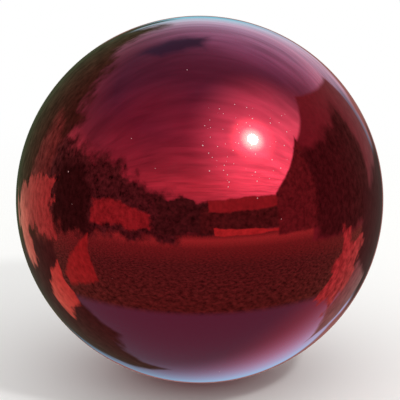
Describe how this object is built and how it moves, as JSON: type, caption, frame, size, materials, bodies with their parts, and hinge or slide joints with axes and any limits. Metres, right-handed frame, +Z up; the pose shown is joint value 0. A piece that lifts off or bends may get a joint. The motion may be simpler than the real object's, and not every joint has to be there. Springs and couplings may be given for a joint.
{
  "type": "gazing ball",
  "caption": "Mirror-polished hollow garden gazing ball in clear red over stainless steel, with a flush threaded base bush, screw plug and rubber foot ring.",
  "frame": {"origin": "on the ball's vertical axis, at the bottom face of the foot ring, which is the surface that the ball stands on", "axes": "+Z up through the crown of the ball; -Y is the side that faces the camera in the picture; the ball looks the same from every side"},
  "size_m": [0.254, 0.254, 0.2523],
  "materials": {
    "red_lacquered_steel": "polished",
    "turned_stainless_steel": "satin",
    "mill_finish_steel": "mill",
    "sealing_rubber": "matte",
    "foot_rubber": "matte"
  },
  "bodies": {
    "ball": {"upper_shell": "red_lacquered_steel", "lower_shell": "red_lacquered_steel", "seam_weld": "red_lacquered_steel", "seam_band": "mill_finish_steel", "base_bush": "turned_stainless_steel", "bush_gasket": "sealing_rubber", "bush_lock_nut": "mill_finish_steel", "foot_ring": "foot_rubber"},
    "washer": {"plug_washer": "sealing_rubber"},
    "plug": {"base_plug": "turned_stainless_steel"}
  },
  "joints": [
    {"name": "plug_travel", "type": "slide", "parent": "ball", "child": "washer", "axis": [0, 0, -1], "range_m": [0, 0.0101]},
    {"name": "plug_turn", "type": "hinge", "parent": "washer", "child": "plug", "pos_m": [0, 0, 0.001], "axis": [0, 0, -1], "range_deg": [0, 1800]}
  ],
  "couplings": [
    {"joint": "plug_travel", "follows": "plug_turn", "m_per_rad": 0.00031831}
  ]
}
